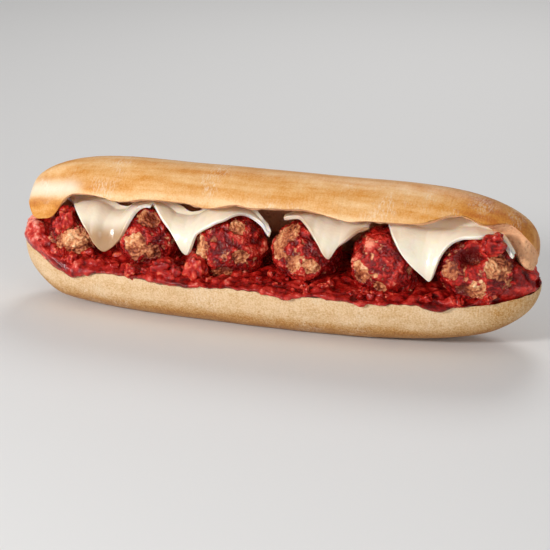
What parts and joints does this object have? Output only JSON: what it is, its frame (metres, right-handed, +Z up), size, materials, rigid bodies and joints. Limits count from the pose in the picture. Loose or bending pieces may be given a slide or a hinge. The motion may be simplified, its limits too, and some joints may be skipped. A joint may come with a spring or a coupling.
{
  "type": "submarine sandwich",
  "caption": "Hot submarine sandwich: a long soft roll, opened at the front over a row of meatballs in chunky tomato sauce, with corners of melted cheese draped over them.",
  "frame": {"origin": "on the surface the sandwich stands on, under the middle of its overall length and width", "axes": "+X along the roll, -Y towards the open front that shows the filling, +Z up"},
  "size_m": [0.288, 0.0716, 0.0828],
  "materials": {
    "bread": "baked crust, matt to satin",
    "sauce": "wet tomato sauce",
    "meat": "cooked minced meat under a film of sauce",
    "cheese": "melted cheese, semi-gloss",
    "tomato": "cooked tomato, wet"
  },
  "bodies": {
    "root": {"bread_base": "bread", "bread_lid": "bread", "sauce_bed": "sauce", "meatball_1": "meat", "meatball_2": "meat", "meatball_3": "meat", "meatball_4": "meat", "meatball_5": "meat", "meatball_6": "meat", "cheese_1": "cheese", "cheese_2": "cheese", "cheese_3": "cheese", "cheese_4": "cheese", "tomato_1": "tomato", "tomato_2": "tomato", "tomato_3": "tomato", "tomato_4": "tomato"}
  },
  "joints": []
}
